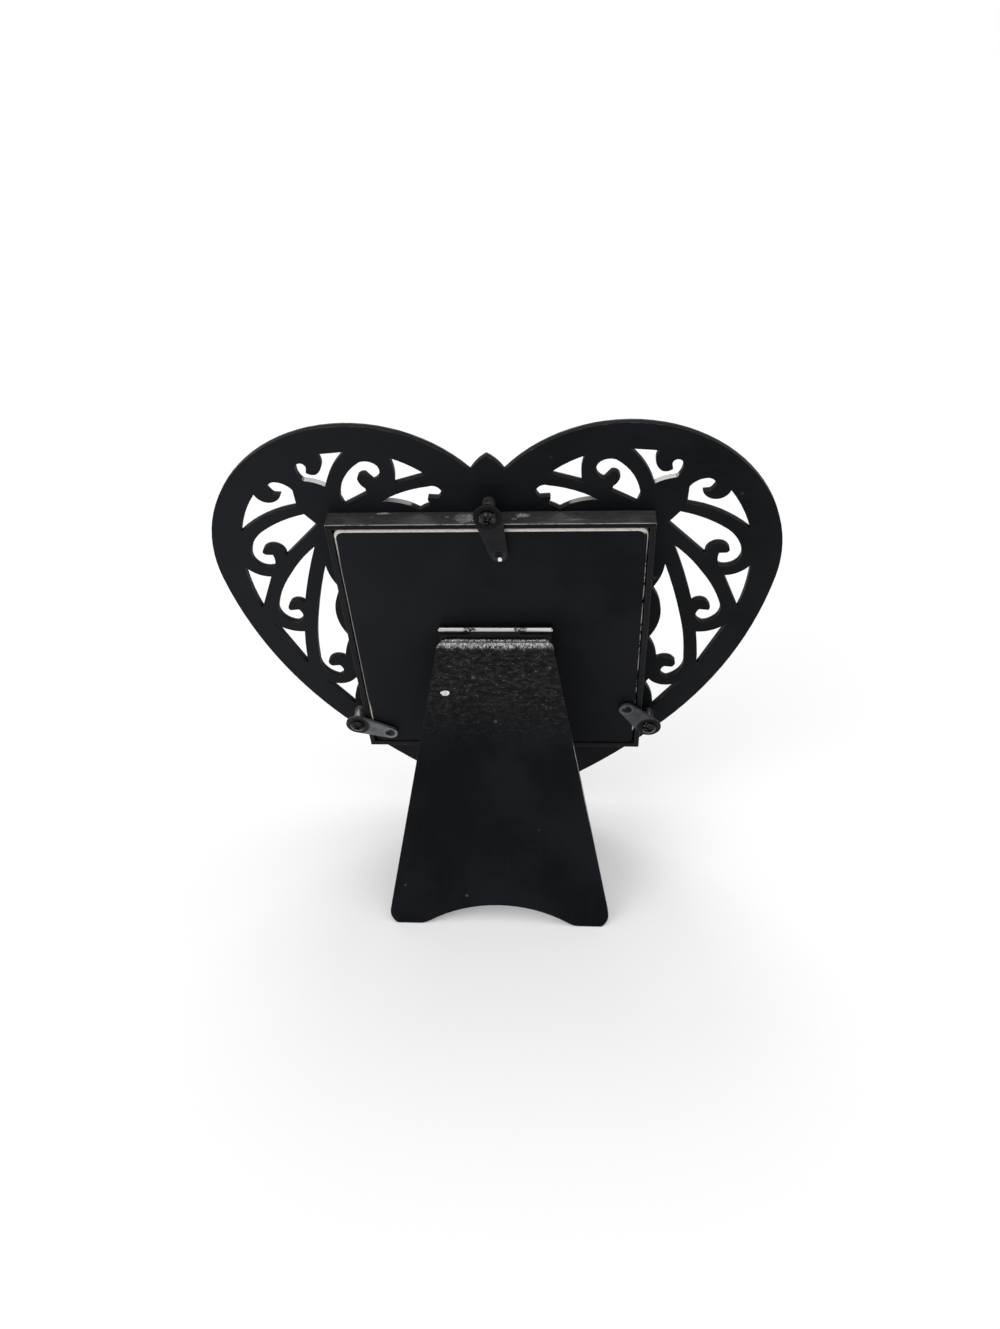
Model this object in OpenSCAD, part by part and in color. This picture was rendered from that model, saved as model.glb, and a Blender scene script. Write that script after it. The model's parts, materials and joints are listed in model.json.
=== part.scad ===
// Heart shaped photo frame with a filigree plate, a picture box behind it and an easel leg.
// The frame is drawn lying face down on a bench, x to the right as seen from the back, y up the
// heart and z out of its back, with 0, 0, 0 at the middle of the picture on the back of the heart.
// Every piece is then stood up together: the heart leans back on its tip and on the leg's two feet.
// Millimetres throughout.

/* [Heart plate] */
// Width of the heart across its widest part, to which its outline and filigree are scaled
heart_w = 249; // [240:1:265]
// Thickness of the heart plate
plate_t = 3; // [2.5:0.5:4]
// Radius of the two lobes
lobe_r = 68; // [67:0.5:69]
// Distance of the lobe centres from the middle
lobe_x = 56.5; // [54:0.5:60]
// Height of the lobe centres above the middle of the picture
lobe_y = 44.6; // [42:0.1:47]
// Radius of the long sides below the lobes
side_r = 193; // [185:1:205]
// Radius of the last stretch of each side, down to the tip
tip_r = 300; // [260:5:340]
// Height of the finial above the notch between the lobes
finial_h = 15.8; // [13:0.1:20]
// Width of the finial at the notch
finial_w = 18.4; // [14:0.1:20]

/* [Picture box] */
// Width of the box outside
box_w = 138.5; // [134:0.5:141]
// Height of the box outside
box_h = 142; // [138:0.5:145]
// Thickness of the four strips
strip_t = 2.5; // [2:0.5:4]
// Width of the ledge that the glass rests on, all round the picture window
ledge_w = 6; // [4:0.5:9]
// Corner radius of the picture window
window_r = 1.5; // [1:0.5:4]
// Radius of the scallops round the box
scallop_r = 27; // [26:0.5:30]
// How far the side scallops reach past the box
side_scallop_out = 6.1; // [5.5:0.1:7]
// How far the top scallops reach past the box
top_scallop_out = 5.5; // [5:0.1:6]
// Distance from one side scallop to the next
side_scallop_pitch = 30.7; // [29:0.1:32]
// Distance from one top scallop to the next
top_scallop_pitch = 29.5; // [29:0.1:31]

/* [What the box holds] */
// Thickness of the glass
glass_t = 2; // [1.5:0.5:3]
// Thickness of the picture and its paper
photo_t = 0.4; // [0.2:0.1:1]
// Thickness of the filler pad
pad_t = 3.5; // [2:0.5:5]
// Thickness of the backing board
board_t = 3; // [2.5:0.5:4]
// Corner radius of the backing board
board_r = 3.5; // [2:0.5:6]
// Bevel round the back of the backing board
board_bevel = 1; // [0.4:0.2:1.4]

/* [Turn buttons] */
// Distance from the screw to the dimple on the two lower buttons
button_len = 17; // [15:0.5:19]
// Distance from the screw to the dimple on the top button
top_button_len = 20; // [17:0.5:22]
// Radius of the end round the screw
button_r = 6; // [5:0.25:7]
// Radius of the tail round the dimple
tail_r = 3.9; // [3.5:0.1:4.5]
// Thickness of a button
button_t = 1.2; // [0.8:0.1:1.6]
// Width of the dimple that presses on the board
dimple_w = 5.6; // [4.5:0.1:6.5]
// Depth of the dimple
dimple_d = 0.8; // [0.5:0.1:1]
// Distance of the two lower screws from the side of the box
side_post_out = 4; // [3.8:0.1:6]
// Height of the side screws above the bottom of the box
side_post_up = 18; // [12:0.5:24]
// Distance of the top screw from the top of the box
top_post_out = 5; // [4:0.1:6]
// Turn of the top button from straight down
top_button_turn = 10.7; // [-30:0.1:30]
// Turn of the left button below straight across
left_button_turn = -20.8; // [-40:0.1:10]
// Turn of the right button above straight across
right_button_turn = 47.7; // [-10:0.1:55]
// Diameter of a post
post_d = 5.5; // [5:0.1:6.5]
// Diameter of a button screw
screw_d = 3; // [2.5:0.1:3.5]
// Diameter of a button screw's head
screw_head_d = 7; // [6:0.1:8]
// Height of a button screw's head
screw_head_h = 2.2; // [1.8:0.1:2.8]
// How deep a button screw bites into the heart plate
screw_bite = 2; // [1:0.1:2.2]

/* [Hinge] */
// Width of the hinge
hinge_w = 51; // [40:1:52]
// Height of the hinge above the middle of the picture
hinge_y = 13; // [8:0.5:20]
// Length of each leaf
leaf_len = 15; // [12:0.5:20]
// Thickness of each leaf
leaf_t = 0.7; // [0.5:0.1:0.8]
// Outside diameter of the barrel
barrel_d = 3.2; // [3:0.1:3.8]
// Diameter of the hinge pin
pin_d = 1.6; // [1.2:0.1:1.6]
// Length of the middle knuckle
knuckle_len = 23; // [18:0.5:28]
// How far the stop lip reaches up past the pin
stop_len = 2.8; // [2.5:0.1:5]
// Diameter of a leaf screw
leaf_screw_d = 2; // [1.6:0.1:2.4]
// Length of a leaf screw below the leaf
leaf_screw_len = 2.2; // [1.8:0.1:2.2]
// Distance of the leaf screws from the middle of the hinge
leaf_screw_x = 17; // [14:0.5:19]
// Distance of the leaf screws from the pin
leaf_screw_s = 9.5; // [8:0.5:11]

/* [Easel leg] */
// Angle that the leg opens to
leg_open = 31; // [27:0.5:35]
// Length of the leg from the hinge pin to its feet
leg_len = 144; // [142:0.5:150]
// Thickness of the leg
leg_t = 4; // [3:0.5:5]
// Distance from the hinge pin to the top of the leg
leg_top = 5; // [4:0.5:7]
// Width of the leg at its top
leg_top_w = 52; // [50:1:60]
// Width of the leg across its feet, before their corners are rounded
leg_foot_w = 108; // [100:1:112]
// Corner radius at the top of the leg
leg_top_r = 3; // [2:0.5:5]
// Corner radius at the outside of each foot
foot_r = 7; // [4:0.5:9]
// Height of the arch between the feet
arch_h = 9; // [7:0.5:12]
// Width of the arch between the feet
arch_w = 72; // [66:1:78]
// Radius where the arch runs out into each foot
arch_r = 10; // [6:1:14]

/* [Fits] */
// Gap between the box and each thing in it, all round
box_fit = 0.5; // [0.3:0.1:0.8]
// Running gap on the radius of the hinge pin and the button screws
pin_fit = 0.05; // [0.03:0.01:0.1]
// Gap between pieces that move past each other
run_gap = 0.3; // [0.3:0.05:0.5]
// Gap above and below a turn button, and at the leg's stop
turn_gap = 0.1; // [0.05:0.05:0.2]

/* [Hidden] */
// How far a cutting shape runs past what it cuts
past = 1;
// How far a chord may lie inside the curve that it stands for
chord_error = 0.04;
// Fineness of true round pieces
$fn = 48;

// Heights above the back of the heart plate
photo_z = glass_t;
pad_z = photo_z + photo_t;
board_z = pad_z + pad_t;
box_d = board_z + board_t;
button_z = box_d + run_gap + dimple_d;
post_h = button_z - turn_gap;
head_z = button_z + button_t + turn_gap;
hinge_z = box_d + run_gap + barrel_d / 2;

// The inside of the box, what lies in it, and the window that it shows through
inner_w = box_w - 2 * strip_t;
inner_h = box_h - 2 * strip_t;
fill_w = inner_w - 2 * box_fit;
fill_h = inner_h - 2 * box_fit;
window_w = inner_w - 2 * ledge_w;
window_h = inner_h - 2 * ledge_w;

// Four scallops lie along each side of the box and four along its top
scallops = 4;
side_scallop_y = -2.3;

// The heart is drawn from its sizes above and then scaled to its width. Two lobe arcs run into
// two side arcs and two tip arcs without a corner, and the finial is two crossed arcs.
side_from = -8;
tip_from = -39;
heart_scale = heart_w / (2 * (lobe_x + lobe_r));
lobe_c = [lobe_x, lobe_y];
side_c = lobe_c - (side_r - lobe_r) * along(side_from);
tip_c = side_c - (tip_r - side_r) * along(tip_from);
drawn_tip = [0, tip_c[1] - sqrt(pow(tip_r, 2) - pow(tip_c[0], 2))];
tip_y = heart_scale * drawn_tip[1];
notch_y = lobe_y + sqrt(pow(lobe_r, 2) - pow(lobe_x, 2));
finial_c = [-(pow(finial_h, 2) - pow(finial_w / 2, 2)) / finial_w, notch_y];
finial_r = finial_w / 2 - finial_c[0];

// Screw places
top_post = [0, box_h / 2 + top_post_out];
left_post = [-box_w / 2 - side_post_out, side_post_up - box_h / 2];
right_post = [box_w / 2 + side_post_out, side_post_up - box_h / 2];

// Where the leg's inner face meets the table, and how far the heart then leans back
leg_in = barrel_d / 2;
leg_out = leg_in + leg_t;
foot_y = hinge_y - leg_len * cos(leg_open) + leg_in * sin(leg_open);
foot_z = hinge_z + leg_len * sin(leg_open) + leg_in * cos(leg_open);
lean = atan((foot_y - tip_y) / foot_z);

// Standing place: the tip's back edge on the table, half of the depth to each side
function stood_y(y, z) = y * sin(lean) + z * cos(lean);
function stood_z(y, z) = y * cos(lean) - z * sin(lean);
front_y = stood_y(tip_y, -plate_t);
foot_reach = leg_t * tan(leg_open - lean);
back_y = stood_y(foot_y, foot_z) + leg_t / cos(leg_open - lean);
stand_y = -(front_y + back_y) / 2;
stand_z = -stood_z(tip_y, 0);

// Height and distance at which a cut-out ends under the scalloped panel
under = 50;

// Each cut-out is a list of corners, walked with the opening on the left: x, y and the bulge of
// the edge to the next corner. A bulge is the tangent of a quarter of the arc's turn. It is 0 for
// a straight edge, above 0 where the opening swells and below 0 where the plate swells into it.
notch_petal = [
    [25.2, 89.5, 0],
    [38.7, 85.4, -0.15],
    [39.6, 97.8, 0.08],
];
panel_leaf = [
    [45.5, 76.4, 0.11],
    [25, 83.7, 0.45],
    [19.5, 81, 0.1],
    [21.2, 78, 0],
    [25.3, 78.3, -0.46],
    [25, 75.9, 0],
    [27, under, 0],
    [45.4, under, 0],
];
crown_comma = [
    [50.8, 80.7, 0],
    [61.4, 74.9, 0],
    [62.6, 78.3, 0.24],
    [52.1, 95.8, 0.32],
    [44.9, 94, 0.47],
    [47.5, 86.8, 0],
    [50.4, 90.2, -0.46],
    [54.1, 87.6, -0.2],
    [51.4, 83.2, 0],
];
crown_hook = [
    [57.5, 100.8, -0.14],
    [68, 84.2, -0.11],
    [76.8, 87.1, 0.23],
    [78.9, 93.2, 1.04],
    [74.5, 93.4, 0.06],
    [75, 91.1, -0.3],
    [70.6, 90.2, -0.43],
    [69.2, 99.8, 0],
];
shoulder_hook = [
    [82, 74.3, -0.14],
    [109.3, 61, 0.09],
    [99.3, 80.4, -0.7],
    [87.8, 80.1, 0],
    [90.9, 80.4, 0.1],
    [93, 83.5, 0.33],
    [89.4, 86.6, 0.24],
    [82.3, 82.6, 0],
];
shoulder_comma = [
    [79.6, 70.2, 0],
    [75, 64.6, 0],
    [91.9, 47.8, -0.88],
    [102.3, 49.9, -0.35],
    [100.9, 48.2, 0],
    [97.9, 48.1, 0.18],
    [98.6, 41.2, 0.59],
    [107.5, 48.4, 0.19],
    [100.2, 60.8, 0.1],
];
side_comma = [
    [78.4, 52.5, -0.03],
    [88.9, 19.8, -0.58],
    [96.4, 18.6, -0.4],
    [96.7, 15.1, 0],
    [92.5, 15.6, 0.57],
    [94.9, 7.4, 0.47],
    [101.7, 17.8, 0.09],
    [91.5, 37.7, 0.07],
];
shoulder_petal = [
    [101.4, 35.6, 0],
    [109.5, 16.8, 0.07],
    [112.1, 41.3, -0.24],
];
side_petal = [
    [92.4, 1.6, -0.03],
    [94.6, -19.9, 0],
    [106.1, 7, -0.22],
];
panel_comma = [
    [74.7, 43.7, 0],
    [under, 43.3, 0],
    [under, -11.1, 0],
    [76, -15.9, -0.43],
    [83.9, -17.6, -0.48],
    [82.8, -21.6, 0],
    [79.2, -21.2, 0.57],
    [80.8, -28.9, 0.37],
    [88.2, -16.3, 0.05],
    [84.1, 11.8, 0.03],
];
panel_petal = [
    [71.7, -28.9, 0],
    [under, -29.2, 0],
    [under, -49.9, 0],
    [75.3, -49.4, 0],
    [87.5, -31.8, -0.46],
];
filigree = [
    notch_petal, panel_leaf, crown_comma, crown_hook, shoulder_hook, shoulder_comma,
    side_comma, shoulder_petal, side_petal, panel_comma, panel_petal,
];

// Unit vector at an angle
function along(a) = [cos(a), sin(a)];

// Number of chords for an arc of radius r that turns by a degrees
function chords(r, a) = max(2, ceil(abs(a) / (2 * acos(1 - chord_error / r))));

// Points on an arc round c, without its first one
function arc_on(c, r, from, to) =
    let (n = chords(r, to - from))
    [for (i = [1 : n]) c + r * along(from + (to - from) * i / n)];

// Points from p up to but not including q, on an edge with bulge b
function edge_points(p, q, b) =
    b == 0 ? [p] :
    let (
        turn = 4 * atan(b),
        half = (q - p) / 2,
        c = p + half + [-half[1], half[0]] / tan(turn / 2),
        r = norm(p - c),
        from = atan2(p[1] - c[1], p[0] - c[0]),
        n = chords(r, turn)
    )
    [for (i = [0 : n - 1]) c + r * along(from + turn * i / n)];

// All points of a closed outline given as corners with bulges
function outline(corners) =
    [for (i = [0 : len(corners) - 1])
        let (a = corners[i], b = corners[(i + 1) % len(corners)])
        each edge_points([a[0], a[1]], [b[0], b[1]], a[2])];

// Rectangle w by h round the origin with corners of radius r
function rounded_rectangle(w, h, r) =
    let (x = w / 2, y = h / 2, quarter = tan(90 / 4))
    outline([
        [x, r - y, 0], [x, y - r, quarter],
        [x - r, y, 0], [r - x, y, quarter],
        [-x, y - r, 0], [-x, r - y, quarter],
        [r - x, -y, 0], [x - r, -y, quarter],
    ]);

module on_both_sides() {
    children();
    mirror([1, 0]) children();
}

// Turns the bench drawing up onto the heart's tip and the leg's feet
module stand() {
    translate([0, stand_y, stand_z]) rotate([90 + lean, 0, 180]) children();
}

// Puts a piece of the leg, drawn folded flat below its pin, at the angle of the open leg
module on_leg() {
    stand() translate([0, hinge_y, hinge_z]) rotate([-leg_open, 0, 0]) children();
}

// The upper of the two points where a circle round a crosses a circle round b to its right
function crossing(a, ra, b, rb) =
    let (
        d = norm(b - a),
        across = (b - a) / d,
        reach = (pow(d, 2) + pow(ra, 2) - pow(rb, 2)) / (2 * d),
        rise = sqrt(pow(ra, 2) - pow(reach, 2))
    )
    a + reach * across + rise * [-across[1], across[0]];
function angle_round(c, p) = atan2(p[1] - c[1], p[0] - c[0]);

// Outline of the heart without its cut-outs: the finial's side and three arcs down to the tip,
// mirrored for the left
module heart_shape() {
    finial_tip = [0, notch_y + finial_h];
    root = crossing(finial_c, finial_r, lobe_c, lobe_r);
    right = concat(
        arc_on(finial_c, finial_r, angle_round(finial_c, finial_tip), angle_round(finial_c, root)),
        arc_on(lobe_c, lobe_r, angle_round(lobe_c, root), side_from),
        arc_on(side_c, side_r, side_from, tip_from),
        arc_on(tip_c, tip_r, tip_from, angle_round(tip_c, drawn_tip))
    );
    left = [for (i = [len(right) - 2 : -1 : 0]) [-right[i][0], right[i][1]]];
    polygon(concat([finial_tip], right, left));
}

// Scalloped panel round the picture, which closes the inner edge of the filigree
module scalloped_panel() {
    last = (scallops - 1) / 2;
    for (i = [-last : last]) {
        on_both_sides()
            translate([box_w / 2 + side_scallop_out - scallop_r, side_scallop_y + i * side_scallop_pitch])
                circle(scallop_r, $fn = 96);
        translate([i * top_scallop_pitch, box_h / 2 + top_scallop_out - scallop_r])
            circle(scallop_r, $fn = 96);
    }
}

module heart_plate() {
    color([0.13, 0.13, 0.14]) stand() difference() {
        translate([0, 0, -plate_t]) linear_extrude(plate_t) difference() {
            scale(heart_scale) heart_shape();
            difference() {
                scale(heart_scale) on_both_sides()
                    for (cut = filigree) polygon(outline(cut));
                scalloped_panel();
            }
            polygon(rounded_rectangle(window_w, window_h, window_r));
        }
        for (p = [top_post, left_post, right_post])
            translate([p[0], p[1], -screw_bite]) cylinder(h = screw_bite + past, d = screw_d + 2 * pin_fit);
    }
}

// One strip of the picture box, w by h on the plate
module strip(x, y, w, h) {
    color([0.17, 0.17, 0.18]) stand() translate([x - w / 2, y - h / 2, 0]) cube([w, h, box_d]);
}
module strip_top() {
    strip(0, (box_h - strip_t) / 2, box_w, strip_t);
}
module strip_bottom() {
    strip(0, -(box_h - strip_t) / 2, box_w, strip_t);
}
module strip_left() {
    strip(-(box_w - strip_t) / 2, 0, strip_t, inner_h);
}
module strip_right() {
    strip((box_w - strip_t) / 2, 0, strip_t, inner_h);
}

// A flat layer that fills the box at height z
module layer(z, t) {
    stand() translate([-fill_w / 2, -fill_h / 2, z]) cube([fill_w, fill_h, t]);
}
module glass_pane() {
    color([0.8, 0.9, 0.92, 0.5]) layer(0, glass_t);
}
module photo_print() {
    color([0.9, 0.88, 0.84]) layer(photo_z, photo_t);
}
module filler_pad() {
    color([0.72, 0.6, 0.44]) layer(pad_z, pad_t);
}

// Board with its back arris bevelled and two blind holes for the hinge screws
module backing_board() {
    flat_t = board_t - board_bevel;
    top_scale = [1 - 2 * board_bevel / fill_w, 1 - 2 * board_bevel / fill_h];
    color([0.16, 0.16, 0.17]) stand() difference() {
        translate([0, 0, board_z]) {
            linear_extrude(flat_t) polygon(rounded_rectangle(fill_w, fill_h, board_r));
            translate([0, 0, flat_t]) linear_extrude(board_bevel, scale = top_scale, slices = 1)
                polygon(rounded_rectangle(fill_w, fill_h, board_r));
        }
        for (side = [-1, 1])
            translate([side * leaf_screw_x, hinge_y - leaf_screw_s, box_d - leaf_screw_len - pin_fit])
                cylinder(h = board_t, d = leaf_screw_d + 2 * pin_fit);
    }
}

// Hollow post that carries a turn button clear of the box
module post(place) {
    color([0.45, 0.46, 0.47]) stand() translate([place[0], place[1], 0]) difference() {
        cylinder(h = post_h, d = post_d);
        translate([0, 0, -past]) cylinder(h = post_h + 2 * past, d = screw_d + 2 * pin_fit);
    }
}
module post_top() {
    post(top_post);
}
module post_left() {
    post(left_post);
}
module post_right() {
    post(right_post);
}

// Teardrop tab with a bore for its screw and a pressed dimple in its tail, pointing along +x
module button(reach) {
    dimple_r = (pow(dimple_w / 2, 2) + pow(dimple_d, 2)) / (2 * dimple_d);
    difference() {
        union() {
            linear_extrude(button_t) hull() {
                circle(button_r);
                translate([reach, 0]) circle(tail_r);
            }
            translate([reach, 0, -dimple_d]) intersection() {
                translate([0, 0, dimple_r]) sphere(dimple_r);
                cylinder(h = dimple_d, d = dimple_w + 1);
            }
        }
        translate([reach, 0, button_t - dimple_d + dimple_r]) sphere(dimple_r);
        translate([0, 0, -past]) cylinder(h = button_t + 2 * past, d = screw_d + 2 * pin_fit);
    }
}
module placed_button(place, reach, direction) {
    color([0.36, 0.37, 0.38]) stand()
        translate([place[0], place[1], button_z]) rotate(direction) button(reach);
}
module turn_button_top() {
    placed_button(top_post, top_button_len, top_button_turn - 90);
}
module turn_button_left() {
    placed_button(left_post, button_len, left_button_turn);
}
module turn_button_right() {
    placed_button(right_post, button_len, 180 - right_button_turn);
}

// Pan head screw with a crossed recess, through the button and its post into the heart plate
module button_screw(place) {
    point = screw_d / 2;
    crown = 0.6 * screw_head_h;
    crown_r = (pow(screw_head_d / 2, 2) + pow(crown, 2)) / (2 * crown);
    crown_c = [0, head_z + screw_head_h - crown_r];
    rim = [screw_head_d / 2, head_z + screw_head_h - crown];
    recess_l = 0.55 * screw_head_d;
    recess_w = 0.13 * screw_head_d;
    recess_d = 0.6 * screw_head_h;
    profile = concat(
        [
            [0, pin_fit - screw_bite],
            [point / 2, pin_fit - screw_bite],
            [screw_d / 2, point],
            [screw_d / 2, head_z],
            [screw_head_d / 2, head_z],
            rim,
        ],
        arc_on(crown_c, crown_r, angle_round(crown_c, rim), 90)
    );
    color([0.1, 0.1, 0.11]) stand() translate([place[0], place[1], 0]) difference() {
        rotate_extrude() polygon(profile);
        translate([0, 0, head_z + screw_head_h - recess_d]) linear_extrude(recess_d + past)
            for (turn = [30, 120])
                rotate(turn) square([recess_l, recess_w], center = true);
    }
}
module button_screw_top() {
    button_screw(top_post);
}
module button_screw_left() {
    button_screw(left_post);
}
module button_screw_right() {
    button_screw(right_post);
}

// Tube round the pin between two places along it
module knuckle(from, to) {
    translate([from, 0, 0]) rotate([0, 90, 0]) difference() {
        cylinder(h = to - from, d = barrel_d);
        translate([0, 0, -past]) cylinder(h = to - from + 2 * past, d = pin_d + 2 * pin_fit);
    }
}

// A leaf hanging below the pin at height z, cut back from the knuckles of the other leaf
module leaf(z) {
    translate([-hinge_w / 2, -leaf_len, z]) cube([hinge_w, leaf_len, leaf_t]);
}

// Countersunk holes of a leaf, narrow end towards +z
module leaf_holes(z) {
    for (side = [-1, 1])
        translate([side * leaf_screw_x, -leaf_screw_s, z]) leaf_screw_shape(pin_fit, past);
}

// Flat head screw with its head at z = 0 and its point towards +z, grown by a gap
module leaf_screw_shape(gap, extra) {
    head = 0.95 * leaf_screw_d + gap;
    shank = leaf_screw_d / 2 + gap;
    cylinder(h = leaf_t, r1 = head, r2 = shank);
    cylinder(h = leaf_t + leaf_screw_len + extra, r = shank);
}

// Leaf on the board, with the two outer knuckles
module hinge_leaf_board() {
    edge = knuckle_len / 2;
    color([0.7, 0.71, 0.72]) stand() translate([0, hinge_y, hinge_z]) {
        knuckle(-hinge_w / 2, -edge - turn_gap);
        knuckle(edge + turn_gap, hinge_w / 2);
        difference() {
            leaf(box_d - hinge_z);
            translate([-edge - turn_gap, -barrel_d / 2 - run_gap, -barrel_d])
                cube([knuckle_len + 2 * turn_gap, barrel_d, 2 * barrel_d]);
            translate([0, 0, box_d - hinge_z + leaf_t]) mirror([0, 0, 1]) leaf_holes(0);
        }
    }
}

// Leaf on the leg, with the middle knuckle and the lip that stops the leg against the board
module hinge_leaf_leg() {
    edge = knuckle_len / 2;
    clear = barrel_d / 2 + run_gap;
    notch_w = hinge_w / 2 - edge + past;
    color([0.7, 0.71, 0.72]) on_leg() {
        knuckle(-edge, edge);
        difference() {
            leaf(leg_in - leaf_t);
            for (side = [-1, 1])
                translate([side * (edge + notch_w / 2), 0, 0])
                    cube([notch_w, 2 * clear, 2 * barrel_d], center = true);
            knuckle_bore();
            leaf_holes(leg_in - leaf_t);
        }
        rotate([leg_open, 0, 0]) difference() {
            translate([-edge, 0, box_d - hinge_z + turn_gap]) cube([knuckle_len, stop_len, leaf_t]);
            knuckle_bore();
        }
    }
}
module knuckle_bore() {
    translate([-hinge_w / 2, 0, 0]) rotate([0, 90, 0]) cylinder(h = hinge_w, d = pin_d + 2 * pin_fit);
}

// Pin with a low domed head at each end
module hinge_pin() {
    head_r = 0.75 * pin_d;
    head_h = 0.35 * pin_d;
    color([0.75, 0.76, 0.77]) stand() translate([0, hinge_y, hinge_z]) {
        translate([-hinge_w / 2 - turn_gap, 0, 0]) rotate([0, 90, 0])
            cylinder(h = hinge_w + 2 * turn_gap, d = pin_d);
        for (side = [0, 1])
            mirror([side, 0, 0]) translate([hinge_w / 2 + turn_gap, 0, 0]) rotate([0, 90, 0])
                cylinder(h = head_h, r1 = head_r, r2 = 0.6 * head_r);
    }
}

module hinge_screws_board() {
    color([0.6, 0.6, 0.6]) stand() translate([0, hinge_y - leaf_screw_s, box_d + leaf_t])
        for (side = [-1, 1])
            translate([side * leaf_screw_x, 0, 0]) mirror([0, 0, 1]) leaf_screw_shape(0, 0);
}
module hinge_screws_leg() {
    color([0.6, 0.6, 0.6]) on_leg()
        for (side = [-1, 1])
            translate([side * leaf_screw_x, -leaf_screw_s, leg_in - leaf_t]) leaf_screw_shape(0, 0);
}

// Leg that widens to two feet with an arch between them, cut level where it meets the table
module easel_leg() {
    long = leg_len + foot_reach + past;
    flare = atan((leg_foot_w - leg_top_w) / 2 / (leg_len - leg_top));
    foot_x = leg_top_w / 2 + (long - leg_top) * tan(flare);
    top_x = leg_top_w / 2;
    top_cut = leg_top_r * tan((90 - flare) / 2);
    foot_cut = foot_r * tan((90 + flare) / 2);
    down = [sin(flare), -cos(flare)];
    top_in = [top_x, -leg_top] + top_cut * down;
    foot_out = [foot_x, -long] - foot_cut * down;
    low = leg_len + foot_reach;
    rise = arch_h + foot_reach;
    curve_r = (pow(arch_w / 2, 2) + pow(rise, 2)) / (2 * rise);
    both_r = curve_r + arch_r;
    arch_end = sqrt(pow(both_r, 2) - pow(both_r - rise, 2));
    arch_meet = [arch_end, arch_r + curve_r - rise] * curve_r / both_r - [0, curve_r - rise];
    end_bulge = tan(atan(arch_end / (both_r - rise)) / 4);
    arch_bulge = (rise - arch_meet[1]) / arch_meet[0];
    color([0.15, 0.15, 0.16]) difference() {
        on_leg() difference() {
            translate([0, 0, leg_in]) linear_extrude(leg_t) polygon(outline([
                [-top_x + top_cut, -leg_top, tan((90 - flare) / 4)],
                [-top_in[0], top_in[1], 0],
                [-foot_out[0], foot_out[1], tan((90 + flare) / 4)],
                [-foot_x + foot_cut, -long, 0],
                [-arch_end, -long, 0],
                [-arch_end, -low, end_bulge],
                [-arch_meet[0], arch_meet[1] - low, -arch_bulge],
                [arch_meet[0], arch_meet[1] - low, end_bulge],
                [arch_end, -low, 0],
                [arch_end, -long, 0],
                [foot_x - foot_cut, -long, tan((90 + flare) / 4)],
                [foot_out[0], foot_out[1], 0],
                [top_in[0], top_in[1], tan((90 - flare) / 4)],
                [top_x - top_cut, -leg_top, 0],
            ]));
            for (side = [-1, 1])
                translate([side * leaf_screw_x, -leaf_screw_s, 0])
                    cylinder(h = leg_in + leaf_screw_len + pin_fit, d = leaf_screw_d + 2 * pin_fit);
        }
        translate([-leg_foot_w, -leg_len, -leg_len]) cube([2 * leg_foot_w, 2 * leg_len, leg_len]);
    }
}

heart_plate();
strip_top();
strip_bottom();
strip_left();
strip_right();
glass_pane();
photo_print();
filler_pad();
backing_board();
post_top();
post_left();
post_right();
turn_button_top();
turn_button_left();
turn_button_right();
button_screw_top();
button_screw_left();
button_screw_right();
hinge_leaf_board();
hinge_leaf_leg();
hinge_pin();
hinge_screws_board();
hinge_screws_leg();
easel_leg();
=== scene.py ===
import json
import math

import bpy
import numpy as np
from mathutils import Matrix


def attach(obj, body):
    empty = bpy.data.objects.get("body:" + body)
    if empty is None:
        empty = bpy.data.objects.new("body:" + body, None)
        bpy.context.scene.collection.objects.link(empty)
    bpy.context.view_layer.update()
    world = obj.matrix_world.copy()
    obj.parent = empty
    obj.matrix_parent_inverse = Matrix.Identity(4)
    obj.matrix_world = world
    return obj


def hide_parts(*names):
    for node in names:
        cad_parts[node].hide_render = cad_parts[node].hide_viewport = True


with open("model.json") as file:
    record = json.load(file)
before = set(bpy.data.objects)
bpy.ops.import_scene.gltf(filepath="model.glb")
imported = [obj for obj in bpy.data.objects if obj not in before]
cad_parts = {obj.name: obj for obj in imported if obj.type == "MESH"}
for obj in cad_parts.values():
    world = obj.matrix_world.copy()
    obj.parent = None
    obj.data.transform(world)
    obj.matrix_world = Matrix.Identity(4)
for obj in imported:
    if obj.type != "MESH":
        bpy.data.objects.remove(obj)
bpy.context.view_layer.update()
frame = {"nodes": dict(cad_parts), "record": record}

# The frame was drawn lying face down on a bench: x to the right as seen from behind, y up the
# heart, z out of its back, 0 at the middle of the picture. All sizes below are in millimetres
# on that bench, or on the leg: x across, y up towards the hinge, z out of its back. A pair named
# as a limit gives the place where an effect is 0 and the place where it is full.

place = {
    "topPostY": 76.0,        # height of the top screw on the bench
    "topButtonZ": 10.6,      # middle of the top button above the back of the plate
    "hinge": (0.0, 13.0, 10.8),
    "metre": 0.001,          # one millimetre in the scene's units
}
joints = {joint["name"]: joint for joint in frame["record"]["behaviour"]["joints"]}
outward = np.array(joints["button_top_turn"]["axis"])
upward = np.array([0.0, -outward[2], outward[1]])
across = np.array([-1.0, 0.0, 0.0])
topButton = np.array(joints["button_top_turn"]["pos_m"])
fromZero = place["topPostY"] * upward + place["topButtonZ"] * outward
benchZero = topButton - place["metre"] * fromZero
benchTurn = np.column_stack([across, upward, outward])

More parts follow.
